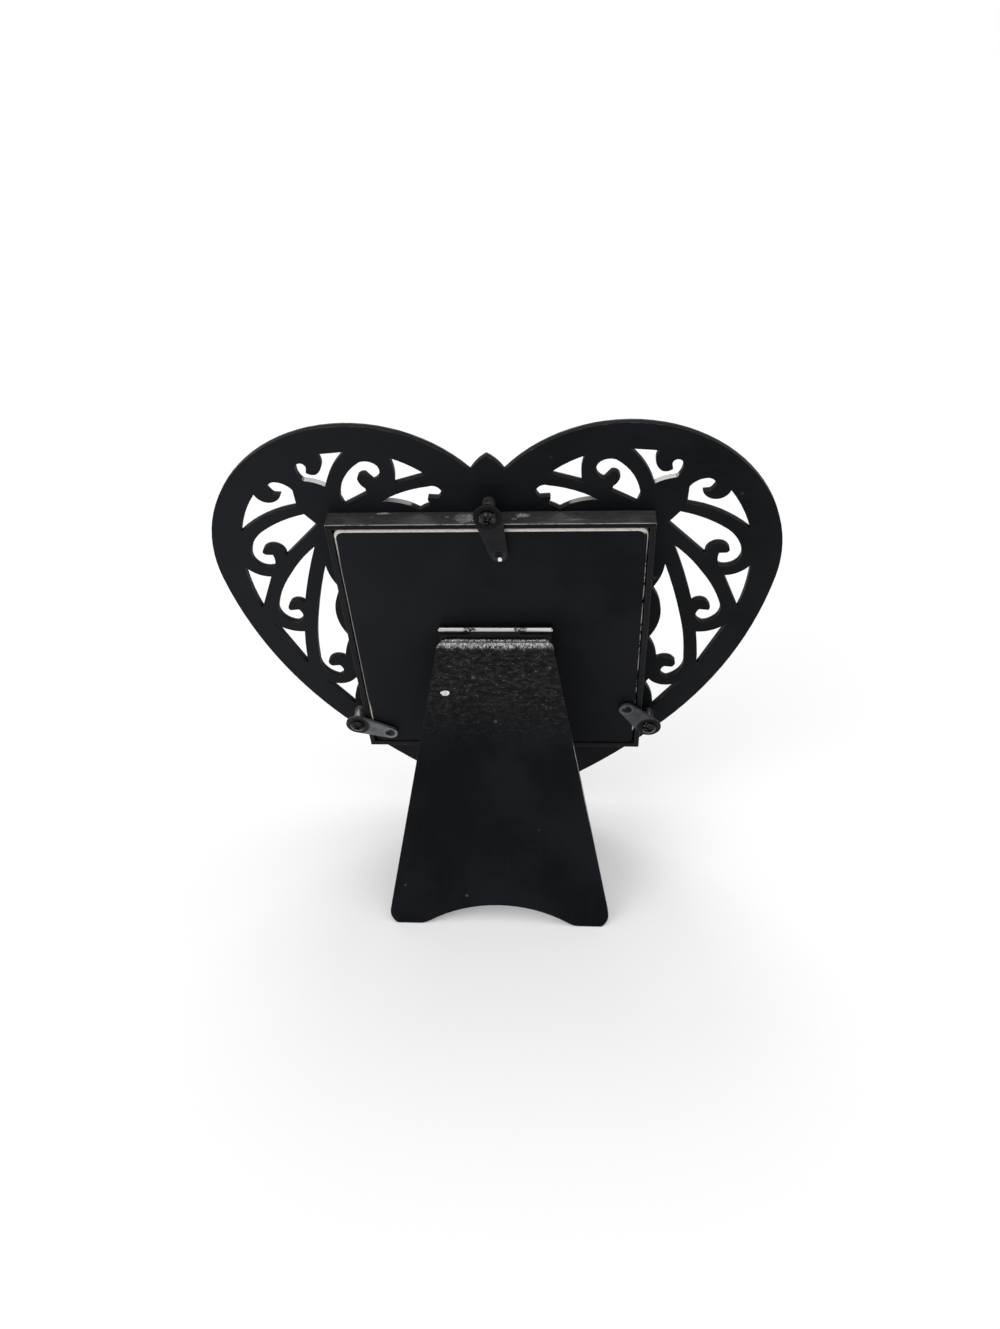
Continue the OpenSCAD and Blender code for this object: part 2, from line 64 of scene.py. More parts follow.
legOpen = math.radians(joints["leg_fold"]["range_deg"][1])
legZero = np.array(joints["leg_fold"]["pos_m"])
openTurn = np.array([
    [1.0, 0.0, 0.0],
    [0.0, math.cos(legOpen), math.sin(legOpen)],
    [0.0, -math.sin(legOpen), math.cos(legOpen)],
])
legTurn = benchTurn @ openTurn


def fromBench(points):
    return benchZero + place["metre"] * np.asarray(points, float) @ benchTurn.T


def fromLeg(points):
    return legZero + place["metre"] * np.asarray(points, float) @ legTurn.T


leanBack = round(math.degrees(math.asin(-outward[2])), 1)
print("frame loaded: the heart leans back by", leanBack, "degrees")


def gridMesh(name, points, closeU=False, closeV=False):
    # A surface over a grid of rows and columns: every four neighbours make one face
    rows, columns = points.shape[:2]
    u = np.arange(rows if closeU else rows - 1)
    v = np.arange(columns if closeV else columns - 1)
    uu, vv = np.meshgrid(u, v, indexing="ij")
    nextU, nextV = (uu + 1) % rows, (vv + 1) % columns
    corners = [(uu, vv), (nextU, vv), (nextU, nextV), (uu, nextV)]
    quads = np.stack([row * columns + column for row, column in corners], axis=-1)
    mesh = bpy.data.meshes.new(name)
    mesh.from_pydata(points.reshape(-1, 3).tolist(), [], quads.reshape(-1, 4).tolist())
    mesh.polygons.foreach_set("use_smooth", np.ones(len(mesh.polygons), bool))
    mesh.update()
    piece = bpy.data.objects.new(name, mesh)
    bpy.context.scene.collection.objects.link(piece)
    return piece


def wobble(steps, waves, seed):
    # Smooth noise of about -1 to 1 round a closed ring: a sum of sines with seeded phases
    smallest, lastPhase = 0.4, 6.28
    rng = np.random.default_rng(seed)
    t = np.linspace(0, 2 * np.pi, steps, endpoint=False)
    n = np.arange(1, waves + 1)[:, None]
    size = rng.uniform(smallest, 1, (waves, 1)) / np.sqrt(n)
    total = (size * np.sin(n * t + rng.uniform(0, lastPhase, (waves, 1)))).sum(0)
    return total / np.abs(total).max()


easing = {
    "weld": 2e-6,            # metres between corners that are one
    "flatAngle": 0.6,        # degrees between triangles that are one face
    "sharpAngle": 30,        # degrees from which an edge stays sharp
    "arrisAngle": 32,        # degrees from which an edge is eased
    "segments": 2,
}


def softened(node, body, width, worn=True):
    # A copy of a CAD piece with its triangles joined into whole faces and its arrises eased
    source = frame["nodes"][node]
    mesh = source.data.copy()
    mesh.name = node + "Eased"
    piece = bpy.data.objects.new(node + ".eased", mesh)
    bpy.context.scene.collection.objects.link(piece)
    bpy.ops.object.select_all(action="DESELECT")
    bpy.context.view_layer.objects.active = piece
    piece.select_set(True)
    bpy.ops.object.mode_set(mode="EDIT")
    bpy.ops.mesh.select_all(action="SELECT")
    bpy.ops.mesh.customdata_custom_splitnormals_clear()
    bpy.ops.mesh.remove_doubles(threshold=easing["weld"])
    bpy.ops.mesh.dissolve_limited(angle_limit=math.radians(easing["flatAngle"]))
    bpy.ops.object.mode_set(mode="OBJECT")
    mesh.polygons.foreach_set("use_smooth", np.ones(len(mesh.polygons), bool))
    mesh.set_sharp_from_angle(angle=math.radians(easing["sharpAngle"]))
    ease = piece.modifiers.new("ease", "BEVEL")
    ease.width = width * place["metre"]
    ease.segments = easing["segments"]
    ease.limit_method = "ANGLE"
    ease.angle_limit = math.radians(easing["arrisAngle"])
    ease.harden_normals = True
    ease.use_clamp_overlap = True
    if worn:
        ease.material = 1
    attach(piece, body)
    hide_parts(node)
    return piece


def dress(piece, *materials):
    piece.data.materials.clear()
    for material in materials:
        piece.data.materials.append(material)


def newMaterial(name):
    material = bpy.data.materials.new(name)
    material.use_nodes = True
    tree = material.node_tree
    tree.nodes.clear()
    return material, tree


def put(tree, kind, inputs=None, **settings):
    # A new shader node, its inputs linked or set to constants
    node = tree.nodes.new("ShaderNode" + kind)
    for key, value in settings.items():
        setattr(node, key, value)
    for key, value in (inputs or {}).items():
        if isinstance(value, bpy.types.NodeSocket):
            tree.links.new(value, node.inputs[key])
        else:
            node.inputs[key].default_value = value
    return node


def calc(tree, operation, a, b=0.0):
    return put(tree, "Math", {0: a, 1: b}, operation=operation).outputs[0]


def scaled(tree, value, share, added):
    return put(tree, "Math", {0: value, 1: share, 2: added}, operation="MULTIPLY_ADD").outputs[0]


def times(tree, first, *others):
    for other in others:
        first = calc(tree, "MULTIPLY", first, other)
    return first


def most(tree, first, *others):
    for other in others:
        first = calc(tree, "MAXIMUM", first, other)
    return first


def onFrame(zero, turn):
    # Millimetre coordinates on the bench or on the leg, whatever the pose of the piece
    angles = Matrix(turn.tolist()).to_euler()

    def coordinates(tree):
        here = put(tree, "TexCoord").outputs["Object"]
        mapping = put(tree, "Mapping", {"Vector": here}, vector_type="TEXTURE")
        mapping.inputs["Location"].default_value = zero.tolist()
        mapping.inputs["Rotation"].default_value = angles[:]
        mapping.inputs["Scale"].default_value = [place["metre"]] * 3
        return mapping.outputs[0]
    return coordinates


onBench = onFrame(benchZero, benchTurn)
onLeg = onFrame(legZero, legTurn)


def noise(tree, coords, size, detail=2.0, rough=0.5, warp=0.0):
    # Cloudy noise whose lumps are about size millimetres in x, y and z
    sized = put(tree, "Mapping", {"Vector": coords, "Scale": [1.0 / s for s in size]})
    inputs = {"Vector": sized.outputs[0], "Scale": 1.0, "Detail": detail, "Roughness": rough,
              "Distortion": warp}
    return put(tree, "TexNoise", inputs).outputs[0]


def ramp(tree, value, low, high, first=0.0, last=1.0):
    # Soft step from first at low to last at high
    inputs = {"Value": value, "From Min": low, "From Max": high, "To Min": first, "To Max": last}
    return put(tree, "MapRange", inputs, interpolation_type="SMOOTHSTEP").outputs[0]


def mixColour(tree, amount, first, second):
    # A colour mix takes its share at socket 0, its colours at 6 and 7, and gives the result at 2
    node = put(tree, "Mix", data_type="RGBA")
    for index, value in ((0, amount), (6, first), (7, second)):
        if isinstance(value, bpy.types.NodeSocket):
            tree.links.new(value, node.inputs[index])
        elif index == 0:
            node.inputs[index].default_value = value
        else:
            node.inputs[index].default_value = (*value, 1.0)
    return node.outputs[2]


def length(tree, vector):
    return put(tree, "VectorMath", {0: vector}, operation="LENGTH").outputs["Value"]


def moved(tree, coords, centre, reach):
    # Coordinates from a centre, in units of reach
    inputs = {"Vector": coords, "Location": centre, "Scale": reach}
    return put(tree, "Mapping", inputs, vector_type="TEXTURE").outputs[0]


def spot(tree, coords, centre, reach, ragged, lumps, soft):
    # 1 inside an ellipse with a ragged rim, 0 outside
    away = length(tree, moved(tree, coords, centre, reach))
    rim = noise(tree, coords, (lumps, lumps, lumps), 3.0, 0.6)
    return ramp(tree, calc(tree, "ADD", away, scaled(tree, rim, ragged * 2, -ragged)), 1.0, 1.0 - soft)


def parts(tree, coords):
    return put(tree, "SeparateXYZ", {0: coords}).outputs


def bumped(tree, height, strength, distance):
    return put(tree, "Bump", {"Height": height, "Strength": strength, "Distance": distance}).outputs[0]


def finish(tree, inputs):
    shader = put(tree, "BsdfPrincipled", inputs)
    put(tree, "OutputMaterial", {"Surface": shader.outputs[0]})


def grey(level, tint=(1.0, 1.0, 1.0)):
    return tuple(level * t for t in tint)


def brighter(tone, factor):
    return [c * factor for c in tone]


def specks(tree, coords, size, share):
    # Rare small grains, one near the middle of a cell: share is the part of the cells that has one
    grainEdge, grainCore = 0.2, 0.1
    sized = put(tree, "Mapping", {"Vector": coords, "Scale": [1.0 / size] * 3})
    cells = put(tree, "TexVoronoi", {"Vector": sized.outputs[0], "Scale": 1.0, "Randomness": 1.0})
    near = ramp(tree, cells.outputs["Distance"], grainEdge, grainCore)
    chosen = parts(tree, cells.outputs["Color"])[0]
    return times(tree, near, ramp(tree, chosen, 1.0 - share, 1.0 - share * 0.7))


# Black paint, shared by the heart, the strips, the board and the leg
paint = {
    "tone": (0.0024, 0.0032, 0.0042),      # cold black
    "paleTone": (0.0070, 0.0078, 0.0098),  # where it is thinner or dusty
    "fleckTone": grey(0.016),
    "fleckShare": 0.3,
    "markShare": 0.45,       # how much a brush mark shows
    "cloudSize": (38, 38, 38),
    "grainSize": (0.55, 0.55, 0.55),
    "gloss": 0.07,
    "rough": 0.5,
}


def paintLayers(tree, coords, brush):
    # Paint tone from slow clouds, brush marks and fine grain. Gives its colour and its height
    cloud = noise(tree, coords, paint["cloudSize"], 3.0, 0.55)
    marks = noise(tree, coords, brush, 4.0, 0.6, 0.2)
    grain = noise(tree, coords, paint["grainSize"], 3.0, 0.65)
    tone = mixColour(tree, ramp(tree, cloud, 0.36, 0.66), paint["tone"], paint["paleTone"])
    markShare = times(tree, ramp(tree, marks, 0.45, 0.8), paint["markShare"])
    tone = mixColour(tree, markShare, tone, paint["paleTone"])
    fleck = times(tree, ramp(tree, grain, 0.58, 0.8), paint["fleckShare"])
    tone = mixColour(tree, fleck, tone, paint["fleckTone"])
    height = calc(tree, "ADD", times(tree, grain, 0.5), times(tree, marks, 0.8))
    return tone, height, cloud


heartLook = {
    "ease": 0.22,
    "brush": (26, 3.5, 9),
    "fade": (70.0, -115.0),                  # limits across the heart of painted light: the left lobe is painted paler, as if lit from that side
    "paintedLightShare": 0.8,
    "paintedLightTone": (0.0118, 0.0128, 0.0155),
    "dust": (6.5, 0.03),                     # spacing and share of the dust grains
    "dustDepth": 0.35,
    "dustTone": (0.10, 0.10, 0.10),
    "wallFront": (-2.95, -2.8),              # limits of a cut wall at the front and the back of the plate
    "wallBack": (-0.05, -0.2),
    "layerSize": (3.0, 3.0, 0.35),
    "wallTone": (0.0055, 0.0058, 0.0065),
    "rimDepth": (-1.9, -2.8),
    "rimTone": (0.19, 0.187, 0.18),          # far arris of walls that face up: thin paint, and painted light from above
    "bareDepth": (-2.85, -2.55),
    "bareAndLitWallTone": (0.80, 0.79, 0.77),      # bare board where a wall missed its paint, and painted light on walls that face up
    "bareAndLitWalls": [   # middle, half size, strength
        ((-73.1, 85.1, -1.5), (7.5, 3.6, 3.0), 1.0),
        ((72.7, 85.9, -1.5), (7.5, 3.6, 3.0), 1.0),
        ((-39.5, 76.0, -1.5), (9.0, 4.0, 3.0), 0.42),
        ((41.5, 75.1, -1.5), (9.0, 4.0, 3.0), 0.36),
        ((-61.6, 78.0, -1.5), (3.2, 2.6, 3.0), 0.4),
    ],
    "edgeShare": 0.5,
    "edgeTone": grey(0.05),
    "edgeGlint": 0.12,
}


def facing(tree, way):
    # 1 where the surface faces along a bench direction, 0 where it is square to it
    normal = put(tree, "TexCoord").outputs["Normal"]
    aim = (benchTurn @ np.array(way)).tolist()
    agree = put(tree, "VectorMath", {0: normal, 1: aim}, operation="DOT_PRODUCT").outputs["Value"]
    return most(tree, agree, 0.0)


def heartPaint():
    material, tree = newMaterial("heartPaint")
    coords = onBench(tree)
    x, _, z = parts(tree, coords)
    tone, height, cloud = paintLayers(tree, coords, heartLook["brush"])
    # Painted light: the heart is paler towards the left, as if lit from that side
    paintedLight = times(tree, ramp(tree, x, *heartLook["fade"]), heartLook["paintedLightShare"])
    tone = mixColour(tree, paintedLight, tone, heartLook["paintedLightTone"])
    dust = specks(tree, coords, *heartLook["dust"])
    tone = mixColour(tree, times(tree, dust, heartLook["dustDepth"]), tone, heartLook["dustTone"])
    # The cut walls show layers through the board; walls that face up are painted lighter, partly thin or
    # bare paint and partly painted light from above
    inWall = times(tree, ramp(tree, z, *heartLook["wallFront"]), ramp(tree, z, *heartLook["wallBack"]))
    layers = noise(tree, coords, heartLook["layerSize"], 3.0, 0.6)
    wallTone = mixColour(tree, ramp(tree, layers, 0.35, 0.75), paint["tone"], heartLook["wallTone"])
    up = facing(tree, (0.0, 1.0, 0.0))
    thinAndLitRim = times(tree, ramp(tree, up, 0.4, 0.9), ramp(tree, z, *heartLook["rimDepth"]))
    patches = ramp(tree, noise(tree, coords, (7, 7, 2), 4.0, 0.65), 0.34, 0.6, 0.15, 1.0)
    wallTone = mixColour(tree, times(tree, thinAndLitRim, patches), wallTone, heartLook["rimTone"])
    bareAndLit = times(tree, ramp(tree, up, 0.35, 0.7), ramp(tree, z, *heartLook["bareDepth"]))
    for centre, reach, strength in heartLook["bareAndLitWalls"]:
        inside = spot(tree, coords, centre, reach, ragged=0.12, lumps=2.0, soft=0.25)
        wallTone = mixColour(tree, times(tree, inside, bareAndLit, strength), wallTone, heartLook["bareAndLitWallTone"])
    tone = mixColour(tree, inWall, tone, wallTone)
    finish(tree, {"Base Color": tone, "Roughness": scaled(tree, cloud, 0.1, paint["rough"]),
                  "Specular IOR Level": paint["gloss"], "Normal": bumped(tree, height, 0.3, 0.00012)})
    return material


def wornEdge(name, coordinates, share, tone, glint=0.2):
    # Rubbed paint on an eased arris: broken lengths of lighter tone
    material, tree = newMaterial(name)
    coords = coordinates(tree)
    lengths = noise(tree, coords, (9, 9, 2), 4.0, 0.65)
    fine = noise(tree, coords, (0.7, 0.7, 0.7), 3.0, 0.7)
    rubbed = calc(tree, "ADD", lengths, times(tree, fine, 0.35))
    bare = ramp(tree, rubbed, 0.95 - share * 0.5, 1.06 - share * 0.5)
    colour = mixColour(tree, bare, paint["paleTone"], tone)
    finish(tree, {"Base Color": colour, "Roughness": ramp(tree, fine, 0.3, 0.8, 0.35, 0.6),
                  "Specular IOR Level": glint, "Normal": bumped(tree, fine, 0.4, 0.0001)})
    return material


heart = softened("heart_plate", "frame", heartLook["ease"])
heartEdge = wornEdge("heartEdge", onBench, heartLook["edgeShare"], heartLook["edgeTone"],
                     heartLook["edgeGlint"])
dress(heart, heartPaint(), heartEdge)
print("heart plate painted")

box = {
    "ease": 0.25,
    "brush": (30, 30, 1.1),
    "streakSize": (15.0, 15.0, 0.77),
    "fuzzSize": (2.2, 2.2, 0.8),
    "outerFace": (8.75, 8.55),               # limits below the flat back of the strips
    "backFace": (8.6, 8.8),
    "brushedAndLitTone": (0.047, 0.047, 0.048),
    "streakTone": (0.110, 0.110, 0.111),
    "streakShare": 0.7,
    "backShadeTone": (0.0010, 0.0010, 0.0012),
    "smearTone": (0.41, 0.408, 0.40),
    "rubbedTone": (0.36, 0.355, 0.345),
    "arrisY": (70.2, 70.7),
    "arrisZ": (8.3, 8.7),
    "smears": [   # middle, half size, strength: light smears on the top of the top strip
        ((-45.4, 71.0, 0.9), (3.4, 1.5, 0.8), 0.9),
        ((-50.0, 71.0, 3.2), (1.4, 1.5, 0.6), 0.35),
        ((-17.6, 71.0, 3.6), (1.3, 1.5, 0.7), 0.4),
        ((-10.5, 71.0, 4.6), (5.0, 1.5, 4.2), 0.46),
        ((-5.6, 71.0, 6.4), (1.6, 1.5, 0.9), 0.45),
        ((-8.2, 71.0, 4.2), (1.7, 1.5, 3.6), 0.45),
        ((14.0, 71.0, 3.0), (3.0, 1.5, 1.6), 1.0),
        ((10.5, 71.0, 5.2), (1.6, 1.5, 0.8), 0.4),
        ((36.0, 71.0, 6.0), (5.0, 1.5, 0.6), 0.2),
    ],
    "strips": {   # how pale its faces are painted, brush streaks and painted light together, how worn its arrises are and their tone
        "bottom": (0.2, 0.25, grey(0.03)),
        "left": (0.3, 0.3, grey(0.04)),
        "right": (0.3, 0.4, grey(0.06)),
    },
}


def stripPaint(name, pale, smears=()):
    # Brushed black paint with streaks along the strip, its outer faces painted paler, partly brush streaks
    # and partly painted light, the top strip most; light smears where they are listed
    material, tree = newMaterial(name)
    coords = onBench(tree)
    z = parts(tree, coords)[2]
    tone, height, _ = paintLayers(tree, coords, box["brush"])
    streak = noise(tree, coords, box["streakSize"], 5.0, 0.72, 0.5)
    fuzz = noise(tree, coords, box["fuzzSize"], 4.0, 0.7)
    outside = ramp(tree, calc(tree, "ABSOLUTE", z), *box["outerFace"])
    brushedAndLit = times(tree, ramp(tree, fuzz, 0.2, 0.6, 0.45, 1.0), outside, pale)
    tone = mixColour(tree, brushedAndLit, tone, box["brushedAndLitTone"])
    streaks = times(tree, ramp(tree, streak, 0.50, 0.70), brushedAndLit, box["streakShare"])
    tone = mixColour(tree, streaks, tone, box["streakTone"])
    # The back of the strip with smears is painted nearly black, painted shade in the gap along the board
    if smears:
        tone = mixColour(tree, ramp(tree, z, *box["backFace"]), tone, box["backShadeTone"])
    for centre, reach, strength in smears:
        inside = spot(tree, coords, centre, reach, ragged=1.1, lumps=0.9, soft=0.5)
        smeared = times(tree, inside, ramp(tree, streak, 0.36, 0.62, 0.35, 1.15), strength)
        tone = mixColour(tree, smeared, tone, box["smearTone"])
    finish(tree, {"Base Color": tone, "Roughness": scaled(tree, streak, 0.3, 0.36),
                  "Specular IOR Level": 0.12,
                  "Normal": bumped(tree, height, 0.45, 0.00018)})
    return material


def topArris():
    # The top strip's outer back arris is rubbed to a thin broken grey line; its other arrises are not
    material, tree = newMaterial("topArris")
    coords = onBench(tree)
    _, y, z = parts(tree, coords)
    lengths = noise(tree, coords, (7, 7, 7), 4.0, 0.65)
    fine = noise(tree, coords, (0.9, 0.9, 0.9), 3.0, 0.7)
    outerBack = times(tree, ramp(tree, y, *box["arrisY"]), ramp(tree, z, *box["arrisZ"]))
    rubbed = ramp(tree, calc(tree, "ADD", lengths, times(tree, fine, 0.5)), 0.58, 0.80, 0.22, 1.0)
    tone = mixColour(tree, times(tree, outerBack, rubbed), box["brushedAndLitTone"], box["rubbedTone"])
    finish(tree, {"Base Color": tone, "Roughness": 0.5, "Specular IOR Level": 0.12,
                  "Normal": bumped(tree, fine, 0.4, 0.0001)})
    return material


stripFinish = {"strip_top": (stripPaint("topStripPaint", 1.0, box["smears"]), topArris())}
for side, (pale, share, tone) in box["strips"].items():
    arris = wornEdge(side + "Arris", onBench, share, tone)
    stripFinish["strip_" + side] = (stripPaint(side + "StripPaint", pale), arris)
for node, materials in stripFinish.items():
    strip = softened(node, "frame", box["ease"])
    dress(strip, *materials)
print("picture box painted")


board = {
    "ease": 0.12,
    "halfWidth": 66.25,
    "halfHeight": 68.0,
    "brush": (40, 40, 40),
    # painted light: the board is paler towards the left, as if lit from that side
    "fade": (40.0, -66.0),
    "paintedLightShare": 0.6,
    "bevel": (8.88, 8.78),        # limits below the flat back of the board
    "thinBevel": (8.45, 8.2),
    "rim": (3.2, 1.2),            # limits in from the top edge
    "sideRim": (2.6, 1.2),        # limits in from the left and right edges
    "high": (48.0, 66.0),         # limits towards the top
    "sidesEnd": (-56.0, -54.0),   # the bare lines end above the buttons
    "aboveLeft": (-36.0, -44.0),  # the left line is bright again from here down
    "belowRight": ((-53.0, -54.5), (-58.6, -57.6)),
    "thinShare": 0.75,
    "dashShare": 0.8,
    "breakSize": (3.2, 3.2, 0.6),
    "fibreSize": (1.8, 1.8, 0.18),
    "bareTone": (0.86, 0.83, 0.79),
    "bareShade": (0.55, 0.49, 0.43),
}


def boardPaint():
    # Smooth dark face; the bevel round it is bare board where paint never reached or was rubbed off
    material, tree = newMaterial("boardPaint")
    coords = onBench(tree)
    x, y, z = parts(tree, coords)
    tone, height, _ = paintLayers(tree, coords, board["brush"])
    # Painted light: the face is paler towards the left, as if lit from that side
    paintedLight = times(tree, ramp(tree, x, *board["fade"]), board["paintedLightShare"])
    tone = mixColour(tree, paintedLight, tone, heartLook["paintedLightTone"])
    onBevel = ramp(tree, z, *board["bevel"])
    # Full along the top, thin down the left, broken on the right and gone at the bottom
    worn = noise(tree, coords, (5, 5, 5), 4.0, 0.7)
    atTop = ramp(tree, y, *(board["halfHeight"] - inset for inset in board["rim"]))
    high = ramp(tree, y, *board["high"])
    sides = ramp(tree, y, *board["sidesEnd"])
    aboveLeft = times(tree, ramp(tree, y, *board["aboveLeft"]), sides)
    thin = times(tree, ramp(tree, z, *board["thinBevel"]), sides)
    leftShare = most(tree, high, aboveLeft, times(tree, thin, board["thinShare"]))
    leftRim = [inset - board["halfWidth"] for inset in board["sideRim"]]
    atLeft = times(tree, ramp(tree, x, *leftRim), leftShare)
    start, end = board["belowRight"]
    belowRight = times(tree, ramp(tree, y, *start), ramp(tree, y, *end))
    dashes = times(tree, ramp(tree, worn, 0.44, 0.56), thin, board["dashShare"])
    rightShare = most(tree, belowRight, dashes, times(tree, high, thin))
    rightRim = [board["halfWidth"] - inset for inset in board["sideRim"]]
    atRight = times(tree, ramp(tree, x, *rightRim), rightShare)
    breaks = ramp(tree, noise(tree, coords, board["breakSize"], 4.0, 0.75), 0.27, 0.36)
    bare = times(tree, most(tree, atTop, atLeft, atRight), onBevel, breaks)
    fibre = noise(tree, coords, board["fibreSize"], 3.0, 0.7)
    wood = mixColour(tree, ramp(tree, fibre, 0.25, 0.6), board["bareShade"], board["bareTone"])
    tone = mixColour(tree, bare, tone, wood)
    finish(tree, {"Base Color": tone, "Roughness": scaled(tree, bare, 0.25, paint["rough"]),
                  "Specular IOR Level": paint["gloss"], "Normal": bumped(tree, height, 0.16, 0.0001)})
    return material


backing = softened("backing_board", "frame", board["ease"], worn=False)
dress(backing, boardPaint())
print("backing board done")


front = {
    "glassTint": (0.62, 0.70, 0.68, 1.0),
    "glassShare": 0.06,                   # how much of the pane is reflection and tint
    "glassIor": 2.6,
    "paperTone": (0.84, 0.825, 0.79),
    "paperLight": (0.90, 0.89, 0.86),
    "paperShade": (0.78, 0.75, 0.70),
    "keyline": (50.0, 52.0, 0.28),        # half width, half height and half thickness of the printed line
    "inkEdge": 0.08,
    "motif": (0.0, 1.5, 21.0),            # middle and size of the printed heart
    "motifEdge": 0.012,
    "motifShare": 0.45,
    "lobePower": 2 / 3,
    "inkTone": (0.46, 0.44, 0.41),
    "cardTone": (0.36, 0.26, 0.165),
    "cardLight": (0.47, 0.35, 0.23),
    "cardRib": (0.30, 0.21, 0.13),
    "ribShare": 0.15,
    "ease": 0.04,                         # arris of the three sheets
    "hair": 0.05,                         # how far a sheet's copy is drawn in
    "slots": {"glass_pane": "glass", "photo_print": "paper", "filler_pad": "cardboard"},
}


def glassMaterial():
    # Thin clear pane: a little tint and a clean reflection over what lies behind it
    material, tree = newMaterial("windowGlass")
    haze = noise(tree, onBench(tree), (22, 22, 22), 3.0, 0.6)
    finish(tree, {"Base Color": front["glassTint"], "IOR": front["glassIor"], "Alpha": front["glassShare"],
                  "Roughness": ramp(tree, haze, 0.45, 0.8, 0.02, 0.10)})
    return material


def printedHeart(tree, x, y):
    # Heart curve: u squared + v squared - 1 less v times u to the power two thirds is negative inside
    middleX, middleY, size = front["motif"]
    u = calc(tree, "DIVIDE", calc(tree, "SUBTRACT", x, middleX), size)
    v = calc(tree, "DIVIDE", calc(tree, "SUBTRACT", y, middleY), size)
    around = calc(tree, "SUBTRACT", calc(tree, "ADD", times(tree, u, u), times(tree, v, v)), 1.0)
    lobes = times(tree, v, calc(tree, "POWER", calc(tree, "ABSOLUTE", u), front["lobePower"]))
    return ramp(tree, calc(tree, "SUBTRACT", around, lobes), front["motifEdge"], -front["motifEdge"])


def paperMaterial():
    # The plain insert that such a frame is sold with: warm white card, a thin printed line and a pale heart
    material, tree = newMaterial("insertPaper")
    coords = onBench(tree)
    x, y, _ = parts(tree, coords)
    fibres = noise(tree, coords, (0.25, 2.2, 1.0), 4.0, 0.7, 0.6)
    cloud = noise(tree, coords, (30, 30, 30), 3.0, 0.5)
    tone = mixColour(tree, ramp(tree, fibres, 0.35, 0.75), front["paperTone"], front["paperLight"])
    tone = mixColour(tree, times(tree, ramp(tree, cloud, 0.4, 0.7), 0.2), tone, front["paperShade"])
    halfWide, halfHigh, thick = front["keyline"]
    side = calc(tree, "SUBTRACT", calc(tree, "ABSOLUTE", x), halfWide)
    end = calc(tree, "SUBTRACT", calc(tree, "ABSOLUTE", y), halfHigh)
    away = calc(tree, "ABSOLUTE", most(tree, side, end))
    line = ramp(tree, away, thick + front["inkEdge"], thick - front["inkEdge"])
    ink = most(tree, line, times(tree, printedHeart(tree, x, y), front["motifShare"]))
    tone = mixColour(tree, ink, tone, front["inkTone"])
    finish(tree, {"Base Color": tone, "Roughness": 0.85, "Specular IOR Level": 0.2,
                  "Normal": bumped(tree, fibres, 0.25, 0.0001)})
    return material


def cardMaterial():
    # Brown filler card with faint ribs
    material, tree = newMaterial("fillerCard")
    coords = onBench(tree)
    fibres = noise(tree, coords, (0.6, 3.0, 0.3), 4.0, 0.7, 0.4)
    level = put(tree, "Mapping", {"Vector": coords, "Scale": (0.0, 0.35, 0.0)}).outputs[0]
    waves = {"Vector": level, "Scale": 1.0, "Distortion": 0.4}
    ribs = put(tree, "TexWave", waves, bands_direction="Y").outputs[1]
    tone = mixColour(tree, ramp(tree, fibres, 0.3, 0.75), front["cardTone"], front["cardLight"])
    tone = mixColour(tree, times(tree, ribs, front["ribShare"]), tone, front["cardRib"])
    finish(tree, {"Base Color": tone, "Roughness": 0.9, "Specular IOR Level": 0.15,
                  "Normal": bumped(tree, fibres, 0.3, 0.0002)})
    return material


def drawnIn(node, material):
    # A sheet that lies on its neighbour: its copy is drawn in by a hair, so two faces never share a plane
    piece = softened(node, "frame", front["ease"], worn=False)
    mesh = piece.data
    places = np.empty(len(mesh.vertices) * 3)
    normals = np.empty(len(mesh.vertices) * 3)
    mesh.vertices.foreach_get("co", places)
    mesh.vertices.foreach_get("normal", normals)
    mesh.vertices.foreach_set("co", places - front["hair"] * place["metre"] * normals)
    mesh.update()
    dress(piece, material)


sheets = {"glass_pane": glassMaterial(), "photo_print": paperMaterial(), "filler_pad": cardMaterial()}
for node, material in sheets.items():
    drawnIn(node, material)
print("glass, paper and pad done")


buttonLook = {
    "ease": 0.18,
    "shade": 0.72,           # darkest part of a button against its own tone
    "deep": (1.0, 1.0, 4.0), # depth counts a quarter in the way from a dimple
    "grit": 2.4,             # how ragged the dimple's painted shade is
    "dimpleShadeEdge": 0.3,
    "ring": ((0.2, 0.6), (1.3, 0.8)),   # limits of the paler ring outside the dimple's shade, a painted highlight
    "ringShare": 0.3,
    "ringTone": (2.6, 0.03),
    "head": (7.4, 6.2),      # limits of the darkening round the screw head
    "headGrit": 1.6,
    "darkPatchShare": 0.9,
    "darkPatchTone": grey(0.004),
    "glintReach": (1.0, 1.05, 2.0),
    "glintTone": grey(0.85),
    "rimShare": 0.4,
    "rimBright": 1.5,
}
buttons = {   # tone is painted light and shade on one steel: the left button lightest, the top one darkest; core is the half width of the painted shade in the dimple, glint its one painted highlight
    "turn_button_left": {
        "body": "button_left", "tone": (0.195, 0.199, 0.206), "screw": (-73.25, -53.0),
        "dimple": (-57.4, -59.0, 10.6), "core": 2.4, "glint": (-58.6, -57.6, 10.6), "glintShare": 0.12,
    },
    "turn_button_right": {
        "body": "button_right", "tone": (0.084, 0.087, 0.093), "screw": (73.25, -53.0),
        "dimple": (61.8, -40.4, 10.6), "core": 2.3, "glint": (60.6, -39.2, 10.6), "glintShare": 0.14,
    },
    "turn_button_top": {
        "body": "button_top", "tone": (0.0165, 0.0170, 0.0192), "screw": (0.0, 76.0),
        "dimple": (3.7, 56.3, 10.6), "core": 1.7, "glint": (4.1, 53.9, 11.0), "glintShare": 1.0,
    },
}


